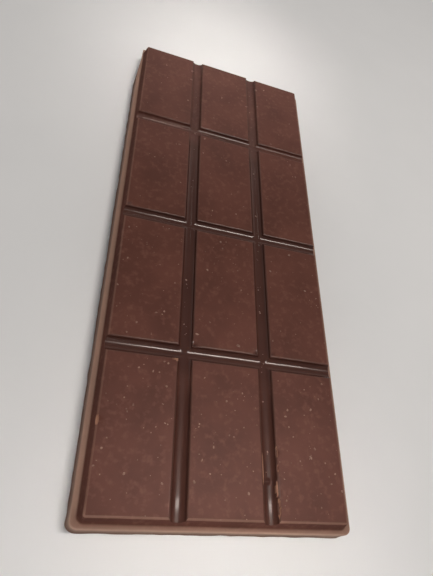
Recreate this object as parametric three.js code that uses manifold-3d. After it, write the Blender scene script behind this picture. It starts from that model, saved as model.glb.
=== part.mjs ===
// A moulded chocolate bar: one solid tablet of three columns and four rows of long blocks,
// parted by shallow hollow grooves. Below the blocks a narrow rim runs round the flat back slab,
// and tapers away at one corner.
// Millimetres, +Z up. The bar lies on its flat back, with the blocks up and its length along Y.
// The origin is at the middle of the back.

import * as THREE from 'three';
import { mergeVertices } from 'three/addons/utils/BufferGeometryUtils.js';
import Module from 'manifold-3d';

const wasm = await Module();
wasm.setup();

// Whole bar
const LENGTH = 160;
const WIDTH = 65.6;
const THICKNESS = 8;

// Layout of the blocks
const COLUMNS = 3;
const ROWS = 4;
const COLUMN_PITCH = 21.4;
const ROW_PITCH = 40.3;

// How far the blocks stand in from the bar's sides and from its ends
const SIDE_INSET = 2.8;
const END_INSET = 2.5;

// Grooves between the blocks: hollow channels with round edges
const GROOVE_GAP = 3.5;
const GROOVE_WALL = {
  depth: 1.3,
  edgeRun: 0.5,
  edgeDrop: 0.32,
  draft: 0.12,
  footRun: 1.5,
  footRise: 0.85,
};

// The wall round all the blocks, which goes down past the groove floors to the rim
const OUTER_WALL = {
  depth: 3,
  edgeRun: 0.5,
  edgeDrop: 0.3,
  draft: 0.33,
  footRun: 0.3,
  footRise: 0.3,
};
const OUTER_CORNER = 0.6;

// Back slab with the rim
const SLAB_CORNER = 2.2;
const SIDE_DRAFT = 0.1;
const RIM_ROUND = 0.4;
const BACK_EDGE = 0.25;

// The rim tapers away towards the bar's far left corner: where that starts along the bar,
// and how much is gone at the end
const TAPER_START = 65;
const TAPER_WIDTH = 1.9;

// Facets. A quarter round in plan has two facets for each division.
const OUTER_CORNER_DIVISIONS = 2;
const SLAB_CORNER_DIVISIONS = 4;
const EDGE_FACETS = 4;
const FOOT_FACETS = 6;
const RIM_FACETS = 4;

// How far the parts that are joined or cut reach into or past each other
const OVERLAP = 0.6;

// Worn places along the groove edges: the middle of each, its half sizes, and what it does.
// A chip is broken out of the edge, and a burr is left standing on it.
const TOP = THICKNESS;
const GROOVE_FLOOR = THICKNESS - GROOVE_WALL.depth;
const WORN_PLACES = [
  { at: [12.6, -62.6, TOP], half: [0.4, 1.3, 0.35], kind: 'chip' },
  { at: [12.6, -66.1, TOP], half: [0.35, 1.0, 0.3], kind: 'chip' },
  { at: [12.4, -70.6, TOP - 0.5], half: [0.4, 2.2, 0.4], kind: 'burr' },
  { at: [12.5, -74.6, TOP], half: [0.45, 2.0, 0.6], kind: 'chip' },
  { at: [8.95, -66.3, TOP - 0.35], half: [0.25, 4.6, 0.25], kind: 'burr' },
  { at: [10.3, -69.0, GROOVE_FLOOR], half: [1.3, 0.45, 0.3], kind: 'burr' },
  { at: [-29.9, -58.5, TOP], half: [0.5, 1.1, 0.5], kind: 'chip' },
  { at: [-12.6, -42.2, TOP], half: [0.6, 0.6, 0.5], kind: 'chip' },
  { at: [-8.6, -38.1, TOP], half: [0.45, 0.4, 0.5], kind: 'chip' },
];
const WORN_JITTER = 0.25;
const WORN_SEED = 7;

// Turns a three.js geometry into a solid that can be joined and cut
function solidFrom(geometry) {
  const bare = geometry.clone();
  bare.deleteAttribute('normal');
  bare.deleteAttribute('uv');
  const merged = mergeVertices(bare, 1e-4);
  return new wasm.Manifold(new wasm.Mesh({
    numProp: 3,
    vertProperties: new Float32Array(merged.attributes.position.array),
    triVerts: new Uint32Array(merged.index.array),
  }));
}

// Turns a solid back into a three.js geometry
function geometryFrom(solid) {
  const mesh = solid.getMesh();
  const geometry = new THREE.BufferGeometry();
  geometry.setAttribute('position', new THREE.BufferAttribute(new Float32Array(mesh.vertProperties), 3));
  geometry.setIndex(new THREE.BufferAttribute(new Uint32Array(mesh.triVerts), 1));
  geometry.computeVertexNormals();
  return geometry;
}

function roundedRectangle(width, length, radius) {
  const x = width / 2 - radius;
  const y = length / 2 - radius;
  const quarter = Math.PI / 2;
  const shape = new THREE.Shape();
  shape.absarc(x, y, radius, 0, quarter, false);
  shape.absarc(-x, y, radius, quarter, 2 * quarter, false);
  shape.absarc(-x, -y, radius, 2 * quarter, 3 * quarter, false);
  shape.absarc(x, -y, radius, 3 * quarter, 4 * quarter, false);
  shape.closePath();
  return shape;
}

// A rounded rectangle drawn through rings. Each ring has a height z, and how far out it stands
// from the nominal rectangle. The corners stay round arcs.
function ringedBlock({ width, length, corner, divisions, rings }) {
  const steps = rings.length - 1;
  const geometry = new THREE.ExtrudeGeometry(roundedRectangle(width, length, corner), {
    depth: steps,
    steps,
    curveSegments: divisions,
    bevelEnabled: false,
  });
  const coreX = width / 2 - corner;
  const coreY = length / 2 - corner;
  const position = geometry.attributes.position;
  for (let i = 0; i < position.count; i += 1) {
    const x = position.getX(i);
    const y = position.getY(i);
    const ring = rings[Math.round(position.getZ(i))];
    const acrossShare = (Math.abs(x) - coreX) / corner;
    const alongShare = (Math.abs(y) - coreY) / corner;
    const across = coreX + acrossShare * (corner + ring.out);
    const along = coreY + alongShare * (corner + ring.out);
    position.setXYZ(i, Math.sign(x) * across, Math.sign(y) * along, ring.z);
  }
  return geometry;
}

// How far a wall stands out at a drop below the top: a convex round at the edge,
// a drafted wall, and a hollow foot
function wallOut(drop, { depth, edgeRun, edgeDrop, draft, footRun, footRise }) {
  const fromEdge = Math.max(1 - drop / edgeDrop, 0);
  const edge = edgeRun * (Math.sqrt(1 - fromEdge ** 2) - 1);
  const intoFoot = Math.min(Math.max((drop - depth) / footRise + 1, 0), 1);
  const foot = footRun * (1 - Math.sqrt(1 - intoFoot ** 2));
  return edge + draft * drop + foot;
}

// The drops at which a wall has a ring, from the foot up to the top
function wallDrops({ depth, edgeDrop, footRise }) {
  const drops = [];
  const quarter = Math.PI / 2;
  for (let i = 0; i <= FOOT_FACETS; i += 1) {
    const angle = quarter * (1 - i / FOOT_FACETS);
    drops.push(depth - footRise + footRise * Math.sin(angle));
  }
  for (let i = 0; i <= EDGE_FACETS; i += 1) {
    const angle = quarter * (1 - i / EDGE_FACETS);
    drops.push(edgeDrop * (1 - Math.cos(angle)));
  }
  return drops;
}

// The raised body that the grooves are cut into, with its wall down to the rim
function body() {
  const rings = wallDrops(OUTER_WALL).map((drop) => ({
    z: THICKNESS - drop,
    out: wallOut(drop, OUTER_WALL),
  }));
  const foot = rings[0];
  rings.unshift({ z: foot.z - OVERLAP, out: foot.out });
  return ringedBlock({
    width: WIDTH - 2 * SIDE_INSET,
    length: LENGTH - 2 * END_INSET,
    corner: OUTER_CORNER,
    divisions: OUTER_CORNER_DIVISIONS,
    rings,
  });
}

// The back slab up to the rim, with a drafted side and a round rim
function slab() {
  const rings = [{ z: 0, out: -BACK_EDGE }, { z: BACK_EDGE, out: 0 }];
  const sideTop = THICKNESS - OUTER_WALL.depth - RIM_ROUND;
  const sideRun = SIDE_DRAFT * (sideTop - BACK_EDGE);
  for (let i = 0; i <= RIM_FACETS; i += 1) {
    const angle = (Math.PI / 2) * (i / RIM_FACETS);
    const out = -sideRun - RIM_ROUND * (1 - Math.cos(angle));
    rings.push({ z: sideTop + RIM_ROUND * Math.sin(angle), out });
  }
  return ringedBlock({
    width: WIDTH,
    length: LENGTH,
    corner: SLAB_CORNER,
    divisions: SLAB_CORNER_DIVISIONS,
    rings,
  });
}

// What is missing from the rim and the side towards the far left corner: a thin wedge
function taperedCorner() {
  const left = -WIDTH / 2;
  const farEnd = LENGTH / 2;
  const shape = new THREE.Shape();
  shape.moveTo(left, TAPER_START);
  shape.lineTo(left + TAPER_WIDTH, farEnd);
  shape.lineTo(left + TAPER_WIDTH, farEnd + OVERLAP);
  shape.lineTo(left - OVERLAP, farEnd + OVERLAP);
  shape.lineTo(left - OVERLAP, TAPER_START);
  shape.closePath();
  const depth = THICKNESS + 2 * OVERLAP;
  const geometry = new THREE.ExtrudeGeometry(shape, { depth, bevelEnabled: false });
  return geometry.translate(0, 0, -OVERLAP);
}

// A groove to cut, along Y and longer than the bar
function groove() {
  const wall = wallDrops(GROOVE_WALL).map((drop) => ({
    across: GROOVE_GAP / 2 - wallOut(drop, GROOVE_WALL),
    z: THICKNESS - drop,
  }));
  const top = wall[wall.length - 1];
  wall.push({ across: top.across, z: THICKNESS + OVERLAP });
  const shape = new THREE.Shape();
  shape.moveTo(wall[0].across, wall[0].z);
  wall.slice(1).forEach(({ across, z }) => shape.lineTo(across, z));
  wall.slice().reverse().forEach(({ across, z }) => shape.lineTo(-across, z));
  shape.closePath();
  const depth = LENGTH + 2 * OVERLAP;
  const geometry = new THREE.ExtrudeGeometry(shape, { depth, bevelEnabled: false });
  geometry.translate(0, 0, -depth / 2);
  geometry.rotateX(Math.PI / 2);
  return geometry;
}

// All the grooves between the columns and between the rows
function grooves() {
  const cuts = [];
  for (let column = 1; column < COLUMNS; column += 1) {
    cuts.push(groove().translate((column - COLUMNS / 2) * COLUMN_PITCH, 0, 0));
  }
  for (let row = 1; row < ROWS; row += 1) {
    cuts.push(groove().rotateZ(Math.PI / 2).translate(0, (row - ROWS / 2) * ROW_PITCH, 0));
  }
  return cuts;
}

// A seeded run of numbers from 0 to 1
function seededRandom(seed) {
  let state = seed;
  return () => {
    state = (state * 16807) % 2147483647;
    return state / 2147483647;
  };
}

// An uneven lump with flat facets, as broken chocolate has
function lump({ at, half }, random) {
  const geometry = new THREE.IcosahedronGeometry(1, 1);
  geometry.deleteAttribute('normal');
  geometry.deleteAttribute('uv');
  const rough = mergeVertices(geometry, 1e-4);
  const position = rough.attributes.position;
  for (let i = 0; i < position.count; i += 1) {
    const size = 1 + WORN_JITTER * (2 * random() - 1);
    position.setXYZ(i, position.getX(i) * size, position.getY(i) * size, position.getZ(i) * size);
  }
  rough.scale(...half);
  rough.translate(...at);
  return rough;
}

function chocolateBar() {
  let solid = solidFrom(slab()).add(solidFrom(body()));
  for (const cut of [...grooves(), taperedCorner()]) {
    solid = solid.subtract(solidFrom(cut));
  }
  const random = seededRandom(WORN_SEED);
  for (const place of WORN_PLACES) {
    const worn = solidFrom(lump(place, random));
    solid = place.kind === 'chip' ? solid.subtract(worn) : solid.add(worn);
  }
  const chocolate = new THREE.MeshStandardMaterial({ color: 0x5c3b31, roughness: 0.42, metalness: 0 });
  const mesh = new THREE.Mesh(geometryFrom(solid), chocolate);
  mesh.name = 'chocolate_bar';
  return mesh;
}

const bar = new THREE.Group();
bar.add(chocolateBar());

export default bar;
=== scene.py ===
# A moulded chocolate bar, lying blocks up on a pale floor.
# The bar is one fine mesh that keeps the form of the solid, with pale edges and a pale rim that are partly
# wear and powder and partly painted highlight.
# The crumbs that lie on it are a piece of their own.

import math
import random

import bmesh
import bpy
import numpy as np
from mathutils import Matrix, Vector, noise
from mathutils.geometry import delaunay_2d_cdt


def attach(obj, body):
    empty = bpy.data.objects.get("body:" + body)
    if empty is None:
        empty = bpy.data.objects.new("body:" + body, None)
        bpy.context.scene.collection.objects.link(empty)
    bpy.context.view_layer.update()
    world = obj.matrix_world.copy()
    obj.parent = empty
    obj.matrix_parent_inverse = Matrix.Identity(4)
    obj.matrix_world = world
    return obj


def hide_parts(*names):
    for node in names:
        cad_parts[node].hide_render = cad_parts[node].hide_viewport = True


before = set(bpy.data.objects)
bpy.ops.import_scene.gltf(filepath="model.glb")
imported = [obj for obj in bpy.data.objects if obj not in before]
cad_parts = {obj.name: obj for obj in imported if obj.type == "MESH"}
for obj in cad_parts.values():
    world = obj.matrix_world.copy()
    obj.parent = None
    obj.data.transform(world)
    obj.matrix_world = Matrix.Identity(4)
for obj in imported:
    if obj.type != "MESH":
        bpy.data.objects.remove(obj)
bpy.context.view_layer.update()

MM = 0.001
QUARTER = math.pi / 2

# Whole bar, in millimetres
LENGTH = 160.0
WIDTH = 65.6
THICKNESS = 8.0

# Layout of the blocks
COLUMNS = 3
ROWS = 4
COLUMN_PITCH = 21.4
ROW_PITCH = 40.3

# How far the blocks stand in from the bar's sides and from its ends
SIDE_INSET = 2.8
END_INSET = 2.5

# Grooves between the blocks: hollow channels with round edges
GROOVE_GAP = 3.5
GROOVE_WALL = {
    "depth": 1.3, "edge_run": 0.5, "edge_drop": 0.32, "draft": 0.12, "foot_run": 1.5, "foot_rise": 0.85,
}

# The wall round all the blocks, which goes down past the groove floors to the rim
OUTER_WALL = {
    "depth": 3.0, "edge_run": 0.5, "edge_drop": 0.3, "draft": 0.33, "foot_run": 0.3, "foot_rise": 0.3,
}
BLOCK_CORNER = 0.6

# Back slab with the rim
SLAB_CORNER = 2.2
SIDE_DRAFT = 0.1
RIM_ROUND = 0.4
BACK_EDGE = 0.25

# The rim tapers away towards the bar's far left corner: where that starts along the bar,
# how much is gone at the end, and the least share of the rim that is left
TAPER_START = 65.0
TAPER_WIDTH = 1.9
TAPER_LEAST = 0.05

# Heights and reaches that follow from these
TOP = THICKNESS
GROOVE_FLOOR = THICKNESS - GROOVE_WALL["depth"]
RIM_LEVEL = THICKNESS - OUTER_WALL["depth"]
SIDE_RUN = SIDE_DRAFT * (RIM_LEVEL - RIM_ROUND - BACK_EDGE)
RIM_START = SIDE_INSET - SIDE_RUN - RIM_ROUND

# Mesh lines: rings down the walls and around the rim, lines across each block, and points over the back
EDGE_STEPS = 6
WALL_STEPS = 1
FOOT_STEPS = 9
FLOOR_STEPS = 2
OUTER_STEPS = 6
OUTER_FOOT_STEPS = 4
RIM_STEPS = 7
SIDE_STEPS = 4
COLUMN_STEPS = [14, 14, 14]
ROW_STEPS = [84, 30, 30, 30]
BACK_STEP = 4.0
MERGE_DISTANCE = 1e-5

# Worn places along the edges: the middle of each, its half sizes, and its kind.
# A chip is broken out and shows raw chocolate along its border, and a scar shows it all over.
# A pit is a small dark hole. A burr is raw chocolate left standing on an edge, and a ridge stands
# across a groove.
WORN_KINDS = ("chip", "scar", "pit", "burr", "ridge")
RAISED_KINDS = ("burr", "ridge")
WORN_PLACES = [
    {"at": (12.6, -62.6, TOP), "half": (0.4, 1.3, 0.35), "kind": "chip"},
    {"at": (12.6, -66.1, TOP), "half": (0.35, 1.0, 0.3), "kind": "chip"},
    {"at": (12.4, -70.6, TOP - 0.5), "half": (0.4, 2.2, 0.4), "kind": "burr"},
    {"at": (12.5, -74.6, TOP), "half": (0.45, 2.0, 0.6), "kind": "chip"},
    # The pale raw colour of this burr, along the right edge of the middle block, is a painted highlight
    {"at": (8.95, -66.3, TOP - 0.35), "half": (0.25, 4.6, 0.25), "kind": "burr"},
    {"at": (10.3, -69.0, GROOVE_FLOOR), "half": (1.3, 0.45, 0.3), "kind": "ridge"},
    {"at": (-29.9, -58.5, TOP), "half": (0.5, 1.1, 0.5), "kind": "scar"},
    {"at": (-12.6, -42.2, TOP), "half": (0.6, 0.6, 0.5), "kind": "scar"},
    {"at": (-8.6, -38.1, TOP), "half": (0.45, 0.4, 0.5), "kind": "pit"},
    {"at": (8.5, -38.1, TOP), "half": (0.3, 0.3, 0.4), "kind": "pit"},
    {"at": (12.9, -37.7, TOP), "half": (0.3, 0.3, 0.4), "kind": "pit"},
    {"at": (-29.4, 2.6, TOP), "half": (0.35, 0.35, 0.4), "kind": "pit"},
]

# Grain of the worn places, in millimetres: its height, and its length
WORN_GRAIN = (0.07, 0.5)

# Where raw chocolate shows, from 0 at the edge of a worn place to 1 in its middle: up to here in a chip,
# and from here on a burr
CHIP_BORDER = 0.5
BURR_BORDER = 0.4

# How pale the rim and the side are at five rings: above the foot of the wall, where the rim starts, on its
# crest, at its outer edge and at the back. First at the bar's near end, then elsewhere. The crest lies a
# few rings in from the outer edge. The paleness is partly real powder and partly a painted highlight on
# the rim's rounding, brightest along the near end.
NEAR_POWDER_AND_HIGHLIGHT = [0, 0.3, 0.9, 1.0, 0.2]
POWDER_AND_HIGHLIGHT = [0, 0.5, 0.62, 0.4, 0.08]
CREST_STEPS = 2

# Marks that tell the material how steep a place is
WALL_STEEPNESS = 0.5
SIDE_STEEPNESS = 1.0

# How pale the block edges are: along the grooves, all round the outside, and at the near end. The paleness
# is partly real wear and partly a painted highlight on the rounded edges; the extra paleness at the near
# end is painted highlight.
EDGE_WEAR_AND_HIGHLIGHT = 0.06
OUTER_WEAR_AND_HIGHLIGHT = 0.12
NEAR_WEAR_AND_HIGHLIGHT = 0.26

# The grooves are rubbed dull towards the bar's near end, and bloomed towards its far end
RUBBED_FROM = -44.0
RUBBED_TO = -52.0
RUBBED_DULLNESS = 0.92
BLOOM_FROM = 33.0
BLOOM_TO = 37.0
BLOOM_DULLNESS = 0.65

# Spots where the grooves stayed smooth: the middle, the reach, and the share of the dullness left there
SMOOTH_SPOTS = [
    {"at": (-10.7, -74.4), "reach": 1.8, "dullness": 0.55},
    {"at": (10.7, -74.1), "reach": 1.8, "dullness": 0.55},
    {"at": (2.0, 40.3), "reach": 18.0, "dullness": 0.0},
]

# How unevenly the bar was cast, in millimetres: height of the swell, and its length
TOP_SWELL = (0.012, 16.0)
EDGE_SWELL = (0.03, 5.0)
FLOOR_SWELL = (0.03, 6.0)
LIP_SWELL = (0.16, 2.6)

# Crumbs: tiny flat flakes. More of them lie on the near rows, some lie in the grooves along the bar,
# and a few lie at known places. The spreads are shares of a block's pitch either way from its middle,
# and of the groove's width and length.
CRUMB_SEED = 11
CRUMB_COUNT = 320
CRUMB_ROW_SHARES = (25, 25, 12, 8)
CRUMB_SPREAD_ACROSS = 0.38
CRUMB_SPREAD_ALONG = 0.43
GROOVE_CRUMB_COUNT = 50
GROOVE_SPREAD_ACROSS = 0.15
GROOVE_SPREAD_ALONG = 0.45
CRUMB_SIZE = (0.10, 0.33)
CRUMB_SMALLNESS = 3
CRUMB_STRETCH = (1.0, 1.6)
CRUMB_FLATNESS = 0.45
CRUMB_JITTER = 0.25
PLACED_CRUMBS = [(-12.8, 70.9), (-13.0, 66.1), (12.8, 71.4), (8.5, 60.0), (13.0, 61.9), (3.4, -36.5)]
PLACED_CRUMB_SIZE = 0.45

# Colours in linear red, green and blue. Tones are the dark and the light colour of faint clouds.
MOULDED_TONES = [(0.052, 0.020, 0.0150), (0.066, 0.0265, 0.0195)]
RUBBED_TONES = [(0.084, 0.0330, 0.0246), (0.1165, 0.0460, 0.0343)]
GRAIN_COLOUR = (0.155, 0.069, 0.053)
SIDE_COLOUR = (0.115, 0.060, 0.045)
# The pale colour of the rim and the edges: real powder and wear, and a painted highlight
POWDER_AND_HIGHLIGHT_COLOUR = (0.40, 0.28, 0.22)
RAW_COLOUR = (0.28, 0.15, 0.10)
CRUMB_TONES = [(0.125, 0.058, 0.043), (0.26, 0.155, 0.12)]
FLOOR_TONES = [(0.70, 0.74, 0.77), (0.74, 0.78, 0.81)]

# Noise in the materials: how fine it is, in cycles to the metre, and how many finer layers it has
CLOUDS = {"scale": 90, "detail": 5}
GRAIN = {"scale": 700, "detail": 3}
GLOSS_PATCHES = {"scale": 260, "detail": 4}
BUMPS = {"scale": 1500, "detail": 4}
CRUMB_CLOUDS = {"scale": 300, "detail": 2}
FLOOR_CLOUDS = {"scale": 40, "detail": 3}

# The range that most noise lies in, the range that shows as grain, and the most grain there is
NOISE_RANGE = (0.3, 0.7)
GRAIN_RANGE = (0.52, 0.74)
GRAIN_MOST = 0.6

# Gloss: roughness and mirror strength of moulded and of rubbed chocolate, and the rest of the roughnesses
MOULDED_ROUGHNESS = (0.16, 0.22)
MOULDED_SPECULAR = 0.35
RUBBED_ROUGHNESS = 0.43
WALL_ROUGHNESS = 0.85
RUBBED_SPECULAR = 0.1
CRUMB_ROUGHNESS = 0.6
FLOOR_ROUGHNESS = 0.8

# Fine bumps on rubbed chocolate, with their height in metres
BUMP_STRENGTH = 0.12
BUMP_HEIGHT = 0.00006

# Floor, in metres
FLOOR_HALF = 1.5

# Lamps, in metres, watts and degrees. The first size is level, and the second is across that.
LAMP_COLOUR = (1.0, 0.89, 0.81)
LAMPS = {
    "overhead_tube": {
        "at": (0.18, -0.024, 0.57), "facing": (0, 0, -1),
        "size": (0.27, 0.025), "power": 2.0, "spread": 180,
    },
    "left_panel": {
        "at": (-0.7, 0.0, 0.25), "facing": (1, 0, -0.2),
        "size": (1.0, 0.4), "power": 0.8, "spread": 180,
    },
    "near_lamp": {
        "at": (-0.03, -0.34, 0.42), "facing": (0.03, 0.24, -0.41),
        "size": (0.06, 0.06), "power": 0.0105, "spread": 14,
    },
    "far_lamp": {
        "at": (0.03, 0.34, 0.42), "facing": (-0.03, -0.24, -0.41),
        "size": (0.06, 0.06), "power": 0.010, "spread": 14,
    },
    "far_panel": {
        "at": (0.15, 0.85, 0.42), "facing": (0, -1, -0.35),
        "size": (1.6, 0.55), "power": 1.2, "spread": 180,
    },
}
WORLD_COLOUR = (1.0, 0.98, 0.96)
WORLD_STRENGTH = 0.2

# Camera: where it stands and the point on the block faces that it looks at, in millimetres, its roll,
# its focal length and the picture's height in pixels, and the nearest that it sees, in metres
CAMERA_AT = (-37.4, -83.52, 110.095)
CAMERA_LOOKS_AT = (-2.735, -20.275, 8.0)
CAMERA_ROLL = math.radians(34.273)
FOCAL_PIXELS = 453.7
IMAGE_HEIGHT = 576
CLIP_START = 0.005


def wall_out(drop, depth, edge_run, edge_drop, draft, foot_run, foot_rise):
    """How far a wall stands out at a drop below the top: round edge, drafted wall, hollow foot."""
    from_edge = np.maximum(1 - drop / edge_drop, 0)
    edge = edge_run * (np.sqrt(1 - from_edge ** 2) - 1)
    into_foot = np.clip((drop - depth) / foot_rise + 1, 0, 1)
    foot = foot_run * (1 - np.sqrt(1 - into_foot ** 2))
    return edge + draft * drop + foot


def shares(steps):
    """Even shares of the way from just after 0 up to 1."""
    return np.linspace(0, 1, steps + 1)[1:]


def foot_drops(wall, steps):
    """The drops of the rings down a wall's hollow foot."""
    return wall["depth"] - wall["foot_rise"] * (1 - np.sin(QUARTER * shares(steps)))


def groove_rings():
    """Drop and reach of the rings from a block's top edge out to the middle of a groove."""
    edge_drop = GROOVE_WALL["edge_drop"]
    edge = edge_drop * (1 - np.cos(QUARTER * shares(EDGE_STEPS)))
    foot_start = GROOVE_WALL["depth"] - GROOVE_WALL["foot_rise"]
    wall = edge_drop + (foot_start - edge_drop) * shares(WALL_STEPS)
    drop = np.concatenate([[0.0], edge, wall, foot_drops(GROOVE_WALL, FOOT_STEPS)])
    out = wall_out(drop, **GROOVE_WALL)
    floor_drop = np.full(FLOOR_STEPS, GROOVE_WALL["depth"])
    floor_out = out[-1] + (GROOVE_GAP / 2 - out[-1]) * shares(FLOOR_STEPS)
    return np.concatenate([drop, floor_drop]), np.concatenate([out, floor_out])


def rim_rings(drop):
    """Drop and reach of the rings from a block's top edge down to the rim, over it, and to the back."""
    depth = OUTER_WALL["depth"]
    foot_start = depth - OUTER_WALL["foot_rise"]
    lower = GROOVE_WALL["depth"] + (foot_start - GROOVE_WALL["depth"]) * shares(OUTER_STEPS)
    wall = np.concatenate([drop, lower, foot_drops(OUTER_WALL, OUTER_FOOT_STEPS)])
    turn = QUARTER * shares(RIM_STEPS)
    down = shares(SIDE_STEPS)
    side_top = depth + RIM_ROUND
    side_drop = side_top + (THICKNESS - BACK_EDGE - side_top) * down
    side_out = RIM_START + RIM_ROUND + SIDE_RUN * down
    round_drop = depth + RIM_ROUND * (1 - np.cos(turn))
    round_out = RIM_START + RIM_ROUND * np.sin(turn)
    wall_reach = wall_out(wall, **OUTER_WALL)
    back_out = SIDE_INSET - BACK_EDGE
    drops = np.concatenate([wall, [depth], round_drop, side_drop, [THICKNESS]])
    outs = np.concatenate([wall_reach, [RIM_START], round_out, side_out, [back_out]])
    return drops, outs, len(wall)


def ring_table():
    """All the rings around a block. Ring 0 is its flat top, at the middle of the corner."""
    groove_drop, groove_out = groove_rings()
    rim_drop, rim_out, foot_ring = rim_rings(groove_drop[:-FLOOR_STEPS])
    block_corner = BLOCK_CORNER + rim_out[:foot_ring]
    slab_corner = SLAB_CORNER - SIDE_INSET + rim_out[foot_ring:]
    past_foot = np.arange(len(rim_out)) >= foot_ring
    end_out = rim_out + past_foot * (END_INSET - SIDE_INSET)
    return {
        "groove_drop": np.concatenate([[0.0], groove_drop]),
        "groove_reach": np.concatenate([[0.0], BLOCK_CORNER + groove_out]),
        "rim_drop": np.concatenate([[0.0], rim_drop]),
        "side_reach": np.concatenate([[0.0], BLOCK_CORNER + rim_out]),
        "end_reach": np.concatenate([[0.0], BLOCK_CORNER + end_out]),
        "rim_corner": np.concatenate([[0.0], block_corner, slab_corner]),
        "floor": len(groove_drop),
        "foot": foot_ring,
        "last": len(rim_drop),
    }


def groove_middle(index, count, pitch):
    """Where the groove before a block lies along one axis."""
    return (index - count / 2) * pitch


def axis_lines(count, pitch, half_size, inset, steps, rings):
    """The mesh lines across one axis: side of the block, ring, whether it faces the rim, and place."""
    lines = []
    for index in range(count):
        at_low_rim = index == 0
        at_high_rim = index == count - 1
        low = groove_middle(index, count, pitch) + GROOVE_GAP / 2
        high = groove_middle(index + 1, count, pitch) - GROOVE_GAP / 2
        if at_low_rim:
            low = -half_size + inset
        if at_high_rim:
            high = half_size - inset
        low_core = low + BLOCK_CORNER
        high_core = high - BLOCK_CORNER

        # The middle line of a groove belongs to the block before it
        low_rings = rings["last"] if at_low_rim else rings["floor"] - 1
        high_rings = rings["last"] if at_high_rim else rings["floor"]
        for ring in range(low_rings, 0, -1):
            lines.append((-1, ring, at_low_rim, low_core))
        for place in np.linspace(low_core, high_core, steps[index] + 1):
            lines.append((0, 0, False, place))
        for ring in range(1, high_rings + 1):
            lines.append((1, ring, at_high_rim, high_core))
    side, ring, faces_rim, core = zip(*lines)
    return np.array(side), np.array(ring), np.array(faces_rim), np.array(core)


def ring_values(ring, faces_rim, rim_reach, rings):
    """How far out the lines of one axis stand from the corner's middle, and how low they lie."""
    in_groove = np.minimum(ring, rings["floor"])
    reach = np.where(faces_rim, rim_reach[ring], rings["groove_reach"][in_groove])
    drop = np.where(faces_rim, rings["rim_drop"][ring], rings["groove_drop"][in_groove])
    return reach, drop


def corner_swing(turn, reach, corner):
    """How far out a square with round corners stands at a turn."""
    straight = np.maximum(reach - corner, 0)
    both = np.cos(turn) + np.sin(turn)
    inside = np.maximum(corner ** 2 - straight ** 2 * (2 - both ** 2), 0)
    on_arc = straight * both + np.sqrt(inside)
    from_axis = np.minimum(turn, QUARTER - turn)
    on_side = reach / np.cos(from_axis)
    return np.where(reach * np.tan(from_axis) < straight, on_side, on_arc)


def bar_grid(rings):
    """The points of the cast form in millimetres: with their ring, the way out, and whether at the rim."""
    across = axis_lines(COLUMNS, COLUMN_PITCH, WIDTH / 2, SIDE_INSET, COLUMN_STEPS, rings)
    along = axis_lines(ROWS, ROW_PITCH, LENGTH / 2, END_INSET, ROW_STEPS, rings)
    side_x, ring_x, rim_x, core_x = [values[:, None] for values in across]
    side_y, ring_y, rim_y, core_y = [values[None, :] for values in along]
    side_reach, end_reach = rings["side_reach"], rings["end_reach"]
    reach_x, drop_x = ring_values(ring_x, rim_x, side_reach, rings)
    reach_y, drop_y = ring_values(ring_y, rim_y, end_reach, rings)
    ring = np.maximum(ring_x, ring_y)

    # At the four corners of the bar the rings turn round. Ring 0 has no reach of its own.
    at_corner = rim_x & rim_y
    diagonal = QUARTER / 2
    share_x = ring_x / np.maximum(ring, 1)
    share_y = ring_y / np.maximum(ring, 1)
    turn = np.where(ring_x >= ring_y, diagonal * share_y, QUARTER - diagonal * share_x)
    swing = corner_swing(turn, side_reach[ring], rings["rim_corner"][ring])
    end_share = end_reach[ring] / np.maximum(side_reach[ring], side_reach[1])
    out_x = np.where(at_corner, swing * np.cos(turn), reach_x)
    out_y = np.where(at_corner, swing * np.sin(turn) * end_share, reach_y)

    # Elsewhere the lines run straight through, and the lower of two forms shows
    points = np.empty(ring.shape + (3,))
    points[..., 0] = core_x + side_x * out_x
    points[..., 1] = core_y + side_y * out_y
    points[..., 2] = THICKNESS - np.where(at_corner, rings["rim_drop"][ring], np.maximum(drop_x, drop_y))
    flat = np.zeros(ring.shape)
    way_out = np.stack([flat + side_x * (ring_x > 0), flat + side_y * (ring_y > 0), flat], axis=-1)
    outer = (ring > 0) & ((rim_x & (drop_x >= drop_y)) | (rim_y & (drop_y >= drop_x)))
    return points, ring, way_out, outer


def swell(points, size):
    """Smooth seeded noise over the points."""
    height, length = size
    flat = points.reshape(-1, 3) / length
    values = [noise.noise(Vector(point)) for point in flat]
    return height * np.array(values).reshape(points.shape[:-1])


def cast_unevenly(points, ring, way_out, outer, rings):
    """Lets the tops, the groove edges and floors, and the lip wander a little."""
    still = points.copy()
    raised = np.clip((still[..., 2] - GROOVE_FLOOR) / GROOVE_WALL["depth"], 0, 1)
    points[..., 2] += raised * swell(still, TOP_SWELL)
    points[..., 2] += (1 - raised) * ~outer * swell(still + WIDTH, FLOOR_SWELL)
    on_wall = (ring > 0) & (ring < rings["floor"] - FLOOR_STEPS)
    points += way_out * (on_wall * swell(still + LENGTH, EDGE_SWELL))[..., None]
    towards_lip = np.clip(1 - still[..., 2] / RIM_LEVEL, 0, 1)
    points += way_out * (towards_lip * swell(still - LENGTH, LIP_SWELL))[..., None]


def taper_rim(points):
    """Narrows the rim and the side below it towards the far left corner."""
    left = -WIDTH / 2
    foot = left + SIDE_INSET - wall_out(OUTER_WALL["depth"], **OUTER_WALL)
    gone = np.interp(points[..., 1], [TAPER_START, LENGTH / 2], [0, TAPER_WIDTH])
    share = np.maximum(1 - gone / (foot - left), TAPER_LEAST)
    x = points[..., 0]
    points[..., 0] = np.where(x < foot, foot + (x - foot) * share, x)


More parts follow.
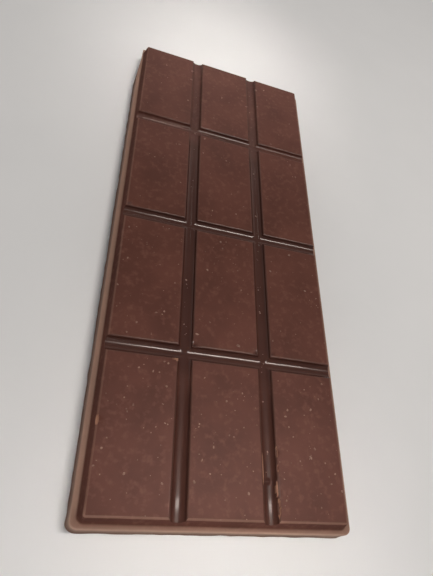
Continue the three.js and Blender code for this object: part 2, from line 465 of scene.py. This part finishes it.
def wear(points, place):
    """Cuts a worn place out or raises it. Returns how far inside it the points that it moved lie."""
    at = np.array(place["at"])
    half = np.array(place["half"])
    away = (points[..., :2] - at[:2]) / half[:2]
    inside = 1 - (away ** 2).sum(axis=-1)
    bulge = half[2] * np.sqrt(np.maximum(inside, 0))
    grain = swell(points, WORN_GRAIN)
    if place["kind"] in RAISED_KINDS:
        level = at[2] + bulge + grain
        moved = (inside > 0) & (points[..., 2] < level)
    else:
        level = at[2] - bulge + grain
        moved = (inside > 0) & (points[..., 2] > level)
    points[..., 2] = np.where(moved, level, points[..., 2])
    return np.where(moved, inside, 0)


def back_faces(points, border):
    """The flat back inside the border, as triangles over the border and an even set of inner points."""
    edge = [Vector(points[index][:2]) for index in border]
    inner = []
    for x in np.arange(-WIDTH / 2 + BACK_STEP, WIDTH / 2 - BACK_STEP / 2, BACK_STEP):
        for y in np.arange(-LENGTH / 2 + BACK_STEP, LENGTH / 2 - BACK_STEP / 2, BACK_STEP):
            inner.append(Vector((x, y)))
    ring = [(index, (index + 1) % len(edge)) for index in range(len(edge))]
    only_inside = 1
    flat, _, triangles, _, _, _ = delaunay_2d_cdt(edge + inner, ring, [], only_inside, MERGE_DISTANCE)
    added = [(point.x, point.y, 0.0) for point in flat[len(edge):]]
    first_added = len(points)
    numbers = list(border) + [first_added + index for index in range(len(added))]
    faces = [tuple(numbers[corner] for corner in reversed(triangle)) for triangle in triangles]
    return added, faces


def wear_all(points):
    """Cuts and raises all the worn places. Returns how far inside each kind of place the points lie."""
    worn = {kind: np.zeros(points.shape[:-1]) for kind in WORN_KINDS}
    for place in WORN_PLACES:
        kind = place["kind"]
        worn[kind] = np.maximum(worn[kind], wear(points, place))
    return worn


def powder_and_highlight_marks(points, ring, outer, rings):
    """How pale the rim, the side and the block edges are: partly real powder and wear, partly painted
    highlight, brightest at the near end.
    """
    rim_start = rings["foot"]
    rim_end = rim_start + RIM_STEPS
    above_foot = rim_start - OUTER_FOOT_STEPS
    places = [above_foot, rim_start, rim_end - CREST_STEPS, rim_end, rim_end + SIDE_STEPS]
    near_powder_and_highlight = np.interp(ring, places, NEAR_POWDER_AND_HIGHLIGHT)
    powder_and_highlight = np.interp(ring, places, POWDER_AND_HIGHLIGHT)
    near_end = -LENGTH / 2 + END_INSET
    towards_near = np.interp(points[..., 1], [near_end, near_end + END_INSET], [1, 0])
    # The rim at the near end is paler still: a painted highlight along its outer rounding
    powder_and_highlight += towards_near * (near_powder_and_highlight - powder_and_highlight)
    # The block edges are made paler: partly real wear, partly a painted highlight on their rounding, most
    # at the near end
    edge_wear_and_highlight = np.where(outer, OUTER_WEAR_AND_HIGHLIGHT + (NEAR_WEAR_AND_HIGHLIGHT - OUTER_WEAR_AND_HIGHLIGHT) * towards_near, EDGE_WEAR_AND_HIGHLIGHT)
    powder_and_highlight += edge_wear_and_highlight * ((ring > 1) & (ring < EDGE_STEPS))
    return powder_and_highlight


def steep_marks(ring, outer, rings):
    """How steep the outside is: first the wall of the blocks, then the side below the rim."""
    rim_end = rings["foot"] + RIM_STEPS
    places = [1, EDGE_STEPS, rim_end - CREST_STEPS, rim_end]
    return np.interp(ring, places, [0, WALL_STEEPNESS, WALL_STEEPNESS, SIDE_STEEPNESS]) * outer


def raw_marks(worn):
    """Where raw chocolate shows: on burrs and scars, and along the borders of chips."""
    chip_border = (worn["chip"] > 0) & (worn["chip"] < CHIP_BORDER)
    return (worn["burr"] > BURR_BORDER) | (worn["scar"] > 0) | chip_border


def rubbed_marks(points, ring, outer):
    """How much the grooves are rubbed."""
    rubbed = np.interp(points[..., 1], [RUBBED_TO, RUBBED_FROM], [1, 0]) * ~outer
    return rubbed * np.interp(ring, [1, EDGE_STEPS - 1], [0, 1])


def dull_marks(points, ring, outer, rubbed, worn):
    """How dull the bar is: all over the tops and the outside, and in places in the grooves."""
    bloomed = np.interp(points[..., 1], [BLOOM_FROM, BLOOM_TO], [0, 1]) * ~outer
    groove_dullness = np.maximum(RUBBED_DULLNESS * rubbed, BLOOM_DULLNESS * bloomed)
    for spot in SMOOTH_SPOTS:
        away = np.hypot(points[..., 0] - spot["at"][0], points[..., 1] - spot["at"][1])
        groove_dullness *= np.interp(away, [0, spot["reach"]], [spot["dullness"], 1])
    dull = np.where(outer, 1.0, np.interp(ring, [1, EDGE_STEPS - 1], [1, 0]))
    dull = np.maximum(dull, groove_dullness)
    dull[worn["pit"] > 0] = 0.0
    dull[(worn["chip"] > 0) | raw_marks(worn)] = 1.0
    return dull


def closed_mesh(points):
    """A mesh over the grid of points, closed by a flat back."""
    columns, rows = points.shape[:-1]
    number = np.arange(columns * rows).reshape(columns, rows)
    quads = np.stack([number[:-1, :-1], number[1:, :-1], number[1:, 1:], number[:-1, 1:]], axis=-1)
    quads = quads.reshape(-1, 4).tolist()
    border = np.concatenate([number[:-1, 0], number[-1, :-1], number[:0:-1, -1], number[0, :0:-1]])
    flat_points = points.reshape(-1, 3)
    added, back = back_faces(flat_points, border)
    vertices = np.concatenate([flat_points, np.array(added)]) * MM
    mesh = bpy.data.meshes.new("chocolate_bar_cast")
    mesh.from_pydata(vertices.tolist(), [], quads + back)
    mesh.polygons.foreach_set("use_smooth", [True] * len(quads) + [False] * len(back))
    return mesh


def store_marks(mesh, marks, rubbed):
    """Keeps the marks on the mesh for the material. The points of the back have none."""
    values = np.zeros((len(mesh.vertices), len(marks)))
    for channel, mark in enumerate(marks):
        values[:mark.size, channel] = mark.reshape(-1)
    layer = mesh.color_attributes.new("marks", "FLOAT_COLOR", "POINT")
    layer.data.foreach_set("color", values.reshape(-1))
    values = np.zeros(len(mesh.vertices))
    values[:rubbed.size] = rubbed.reshape(-1)
    layer = mesh.attributes.new("rubbed", "FLOAT", "POINT")
    layer.data.foreach_set("value", values)


def add_object(name, data):
    """Puts an object in the scene."""
    added = bpy.data.objects.new(name, data)
    bpy.context.collection.objects.link(added)
    return added


def chocolate_bar():
    """The bar as one closed mesh, with its marks stored for the material."""
    rings = ring_table()
    points, ring, way_out, outer = bar_grid(rings)
    taper_rim(points)
    cast_unevenly(points, ring, way_out, outer, rings)
    worn = wear_all(points)
    rubbed = rubbed_marks(points, ring, outer)
    marks = (
        powder_and_highlight_marks(points, ring, outer, rings),
        raw_marks(worn),
        steep_marks(ring, outer, rings),
        dull_marks(points, ring, outer, rubbed, worn),
    )
    mesh = closed_mesh(points)
    store_marks(mesh, marks, rubbed)
    mesh.validate()
    return add_object("chocolate_bar_cast", mesh)


def either_way(chance, most):
    """A random distance to either side."""
    return chance.uniform(-most, most)


def crumb_places(chance):
    """Where the crumbs lie: anywhere on the blocks, and in the grooves along the bar."""
    places = []
    for _ in range(CRUMB_COUNT):
        column = chance.randrange(COLUMNS)
        row = chance.choices(range(ROWS), CRUMB_ROW_SHARES)[0]
        x = groove_middle(column, COLUMNS, COLUMN_PITCH) + COLUMN_PITCH / 2
        y = groove_middle(row, ROWS, ROW_PITCH) + ROW_PITCH / 2
        x += either_way(chance, CRUMB_SPREAD_ACROSS * COLUMN_PITCH)
        y += either_way(chance, CRUMB_SPREAD_ALONG * ROW_PITCH)
        places.append((x, y, TOP))
    for _ in range(GROOVE_CRUMB_COUNT):
        x = groove_middle(chance.randrange(1, COLUMNS), COLUMNS, COLUMN_PITCH)
        x += either_way(chance, GROOVE_SPREAD_ACROSS * GROOVE_GAP)
        y = either_way(chance, GROOVE_SPREAD_ALONG * LENGTH)
        places.append((x, y, GROOVE_FLOOR))
    return places


def add_crumb(work, place, size, chance):
    """Adds one uneven flake to a mesh."""
    long = size * chance.uniform(*CRUMB_STRETCH)
    shape = Matrix.Diagonal((long, size, size * CRUMB_FLATNESS, 1))
    spin = Matrix.Rotation(chance.uniform(0, math.tau), 4, "Z")
    made = bmesh.ops.create_icosphere(work, subdivisions=1, radius=1.0)
    for vertex in made["verts"]:
        vertex.co *= 1 + either_way(chance, CRUMB_JITTER)
        vertex.co = spin @ shape @ vertex.co
        vertex.co += Vector(place)
        vertex.co *= MM


def crumbs():
    """Tiny uneven flakes that lie on the bar, most of them small."""
    chance = random.Random(CRUMB_SEED)
    work = bmesh.new()
    for x, y in PLACED_CRUMBS:
        add_crumb(work, (x, y, TOP), PLACED_CRUMB_SIZE, chance)
    smallest, largest = CRUMB_SIZE
    for place in crumb_places(chance):
        size = smallest + (largest - smallest) * chance.random() ** CRUMB_SMALLNESS
        add_crumb(work, place, size, chance)
    mesh = bpy.data.meshes.new("crumbs")
    work.to_mesh(mesh)
    work.free()
    return add_object("crumbs", mesh)


def plain_material(name):
    """A new material, with its node tree and its shader."""
    material = bpy.data.materials.new(name)
    material.use_nodes = True
    tree = material.node_tree
    return material, tree, tree.nodes["Principled BSDF"]


def object_place(tree):
    """The place on the object, which the noise follows."""
    return tree.nodes.new("ShaderNodeTexCoord").outputs["Object"]


def stored_mark(tree, name):
    """A mark that is stored on the mesh."""
    mark = tree.nodes.new("ShaderNodeAttribute")
    mark.attribute_name = name
    return mark.outputs


def mix_colour(tree, factor, first, second):
    """A colour mix. The factor and each side are a node's output, or a side is a plain colour."""
    mix = tree.nodes.new("ShaderNodeMix")
    mix.data_type = "RGBA"
    inputs = [socket for socket in mix.inputs if socket.enabled]
    for socket, value in zip(inputs, (factor, first, second)):
        if isinstance(value, bpy.types.NodeSocket):
            tree.links.new(value, socket)
        else:
            socket.default_value = (*value, 1)
    return next(socket for socket in mix.outputs if socket.enabled)


def map_range(tree, value, source, target):
    """Carries a value over from one range to another."""
    node = tree.nodes.new("ShaderNodeMapRange")
    limits = dict(zip(("From Min", "From Max", "To Min", "To Max"), (*source, *target)))
    for name, limit in limits.items():
        node.inputs[name].default_value = limit
    tree.links.new(value, node.inputs["Value"])
    return node.outputs["Result"]


def noise_value(tree, place, scale, detail):
    """Noise of a given fineness."""
    node = tree.nodes.new("ShaderNodeTexNoise")
    node.inputs["Scale"].default_value = scale
    node.inputs["Detail"].default_value = detail
    tree.links.new(place, node.inputs["Vector"])
    return node.outputs["Fac"]


def moulded_chocolate(tree, shader, place, clouds):
    """Smooth dark chocolate, as the mould left it in the grooves. Returns its colour."""
    colour = mix_colour(tree, clouds, *MOULDED_TONES)
    patches = noise_value(tree, place, **GLOSS_PATCHES)
    rough = map_range(tree, patches, NOISE_RANGE, MOULDED_ROUGHNESS)
    tree.links.new(colour, shader.inputs["Base Color"])
    tree.links.new(rough, shader.inputs["Roughness"])
    shader.inputs["Specular IOR Level"].default_value = MOULDED_SPECULAR
    return colour


def rubbed_chocolate(tree, shader, place, clouds, moulded, marks):
    """Dull tops with clouds and grain, rubbed grooves, a dusty side, a pale rim and pale edges that are
    partly powder and wear and partly painted highlight, and raw burrs.
    """
    split = tree.nodes.new("ShaderNodeSeparateColor")
    tree.links.new(marks["Color"], split.inputs["Color"])
    # The red mark is the pale rim and edges: real powder and wear, and a painted highlight
    powder_and_highlight = split.outputs["Red"]
    raw = split.outputs["Green"]
    steep = split.outputs["Blue"]
    grain = map_range(tree, noise_value(tree, place, **GRAIN), GRAIN_RANGE, (0, GRAIN_MOST))
    on_side = map_range(tree, steep, (WALL_STEEPNESS, SIDE_STEEPNESS), (0, 1))
    colour = mix_colour(tree, clouds, *RUBBED_TONES)
    colour = mix_colour(tree, grain, colour, GRAIN_COLOUR)
    colour = mix_colour(tree, stored_mark(tree, "rubbed")["Fac"], colour, moulded)
    colour = mix_colour(tree, on_side, colour, SIDE_COLOUR)
    # Mixes in the pale rim and edges: partly powder and wear, partly painted highlight
    colour = mix_colour(tree, powder_and_highlight, colour, POWDER_AND_HIGHLIGHT_COLOUR)
    colour = mix_colour(tree, raw, colour, RAW_COLOUR)
    rough = map_range(tree, steep, (0, WALL_STEEPNESS), (RUBBED_ROUGHNESS, WALL_ROUGHNESS))
    tree.links.new(colour, shader.inputs["Base Color"])
    tree.links.new(rough, shader.inputs["Roughness"])
    shader.inputs["Specular IOR Level"].default_value = RUBBED_SPECULAR


def add_bumps(tree, shader, place):
    """Fine bumps that catch the light."""
    bump = tree.nodes.new("ShaderNodeBump")
    bump.inputs["Strength"].default_value = BUMP_STRENGTH
    bump.inputs["Distance"].default_value = BUMP_HEIGHT
    tree.links.new(noise_value(tree, place, **BUMPS), bump.inputs["Height"])
    tree.links.new(bump.outputs["Normal"], shader.inputs["Normal"])


def chocolate_material():
    """Dark chocolate: glossy where the mould shaped it, rubbed dull on the tops, and pale on the rim and
    the edges from powder, wear and a painted highlight.
    """
    material, tree, glossy = plain_material("chocolate")
    dull = tree.nodes.new("ShaderNodeBsdfPrincipled")
    place = object_place(tree)
    marks = stored_mark(tree, "marks")
    clouds = map_range(tree, noise_value(tree, place, **CLOUDS), NOISE_RANGE, (0, 1))
    moulded = moulded_chocolate(tree, glossy, place, clouds)
    rubbed_chocolate(tree, dull, place, clouds, moulded, marks)
    add_bumps(tree, dull, place)
    both = tree.nodes.new("ShaderNodeMixShader")
    tree.links.new(marks["Alpha"], both.inputs["Fac"])
    tree.links.new(glossy.outputs["BSDF"], both.inputs[1])
    tree.links.new(dull.outputs["BSDF"], both.inputs[2])
    tree.links.new(both.outputs["Shader"], tree.nodes["Material Output"].inputs["Surface"])
    return material


def crumb_material():
    """Pale chocolate crumbs, some darker than others."""
    material, tree, shader = plain_material("crumbs")
    clouds = noise_value(tree, object_place(tree), **CRUMB_CLOUDS)
    tone = map_range(tree, clouds, NOISE_RANGE, (0, 1))
    tree.links.new(mix_colour(tree, tone, *CRUMB_TONES), shader.inputs["Base Color"])
    shader.inputs["Roughness"].default_value = CRUMB_ROUGHNESS
    return material


def floor_material():
    """A pale floor with faint clouds."""
    material, tree, shader = plain_material("floor")
    tone = noise_value(tree, object_place(tree), **FLOOR_CLOUDS)
    tree.links.new(mix_colour(tree, tone, *FLOOR_TONES), shader.inputs["Base Color"])
    shader.inputs["Roughness"].default_value = FLOOR_ROUGHNESS
    return material


def floor_piece():
    """The floor that the bar lies on."""
    mesh = bpy.data.meshes.new("floor")
    low, high = -FLOOR_HALF, FLOOR_HALF
    corners = [(low, low, 0), (high, low, 0), (high, high, 0), (low, high, 0)]
    mesh.from_pydata(corners, [], [(0, 1, 2, 3)])
    mesh.materials.append(floor_material())
    floor = add_object("floor", mesh)


def upright_turn(facing):
    """The turn of a thing that looks the way it faces, with its own sideways axis level."""
    backwards = -Vector(facing).normalized()
    level = Vector((1, 0, 0))
    if backwards.xy.length > 0:
        level = Vector((-backwards.y, backwards.x, 0)).normalized()
    return Matrix((level, backwards.cross(level), backwards)).transposed()


def soft_light(name, at, facing, size, power, spread):
    """A rectangular lamp that shines the way it faces."""
    lamp = bpy.data.lights.new(name, "AREA")
    lamp.shape = "RECTANGLE"
    lamp.size, lamp.size_y = size
    lamp.energy = power
    lamp.spread = math.radians(spread)
    lamp.color = LAMP_COLOUR
    holder = add_object(name, lamp)
    holder.matrix_world = Matrix.Translation(at) @ upright_turn(facing).to_4x4()


def studio():
    """Soft light from all round, and the lamps."""
    scene = bpy.context.scene
    scene.view_settings.view_transform = "Standard"
    world = bpy.data.worlds.new("studio")
    world.use_nodes = True
    background = world.node_tree.nodes["Background"]
    background.inputs["Color"].default_value = (*WORLD_COLOUR, 1)
    background.inputs["Strength"].default_value = WORLD_STRENGTH
    scene.world = world
    for name, lamp in LAMPS.items():
        soft_light(name, **lamp)


def camera():
    """A camera over the bar's near end, rolled to one side."""
    data = bpy.data.cameras.new("camera")
    data.sensor_fit = "VERTICAL"
    data.lens = FOCAL_PIXELS / IMAGE_HEIGHT * data.sensor_height
    data.clip_start = CLIP_START
    holder = add_object("camera", data)
    at = Vector(CAMERA_AT) * MM
    forward = Vector(CAMERA_LOOKS_AT) * MM - at
    roll = Matrix.Rotation(CAMERA_ROLL, 4, "Z")
    holder.matrix_world = Matrix.Translation(at) @ upright_turn(forward).to_4x4() @ roll
    bpy.context.scene.camera = holder


camera()
studio()
floor_piece()

bar = chocolate_bar()
bar.data.materials.append(chocolate_material())
scattered = crumbs()
scattered.data.materials.append(crumb_material())
for piece in (bar, scattered):
    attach(piece, "root")
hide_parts("chocolate_bar")
